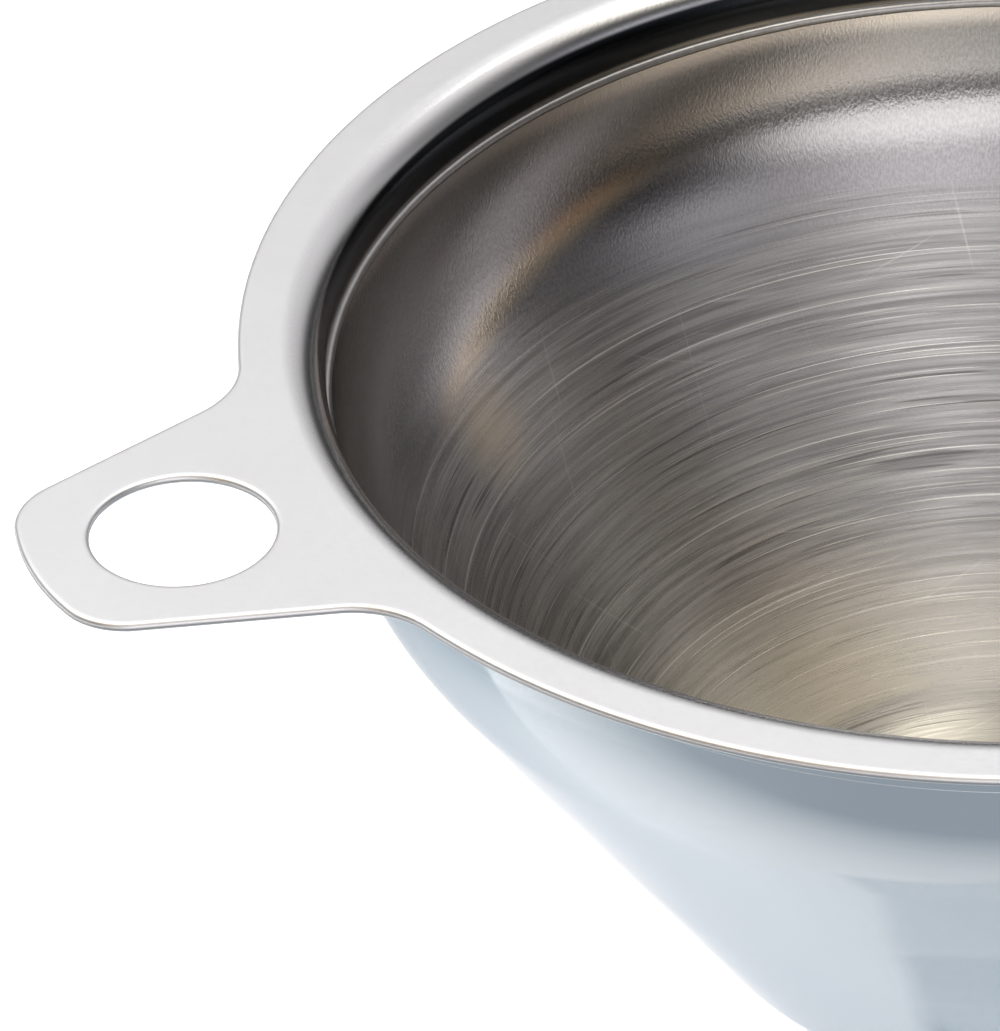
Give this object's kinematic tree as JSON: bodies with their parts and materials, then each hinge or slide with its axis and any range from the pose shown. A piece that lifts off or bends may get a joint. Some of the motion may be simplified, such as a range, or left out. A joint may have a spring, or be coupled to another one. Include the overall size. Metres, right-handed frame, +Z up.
{
  "type": "canning funnel",
  "caption": "Stainless steel funnel for filling jars: flat brim with a hanging tab, round-shouldered conical bowl, rounded foot and straight spout.",
  "frame": {"origin": "centre of the spout's lower end, which is the rim the funnel stands on", "axes": "+Z up along the funnel's axis, from the spout to the brim; the hanging tab points towards -X"},
  "size_m": [0.1684, 0.144, 0.0955],
  "materials": {
    "brim_steel": "satin, near white",
    "bowl_steel": "bright polished outside, circular brush marks inside",
    "spout_steel": "bright polished",
    "weld_steel": "ground and polished bead"
  },
  "bodies": {
    "root": {"brim_ring": "brim_steel", "brim_weld": "weld_steel", "bowl": "bowl_steel", "spout_weld": "weld_steel", "spout": "spout_steel"}
  },
  "joints": []
}
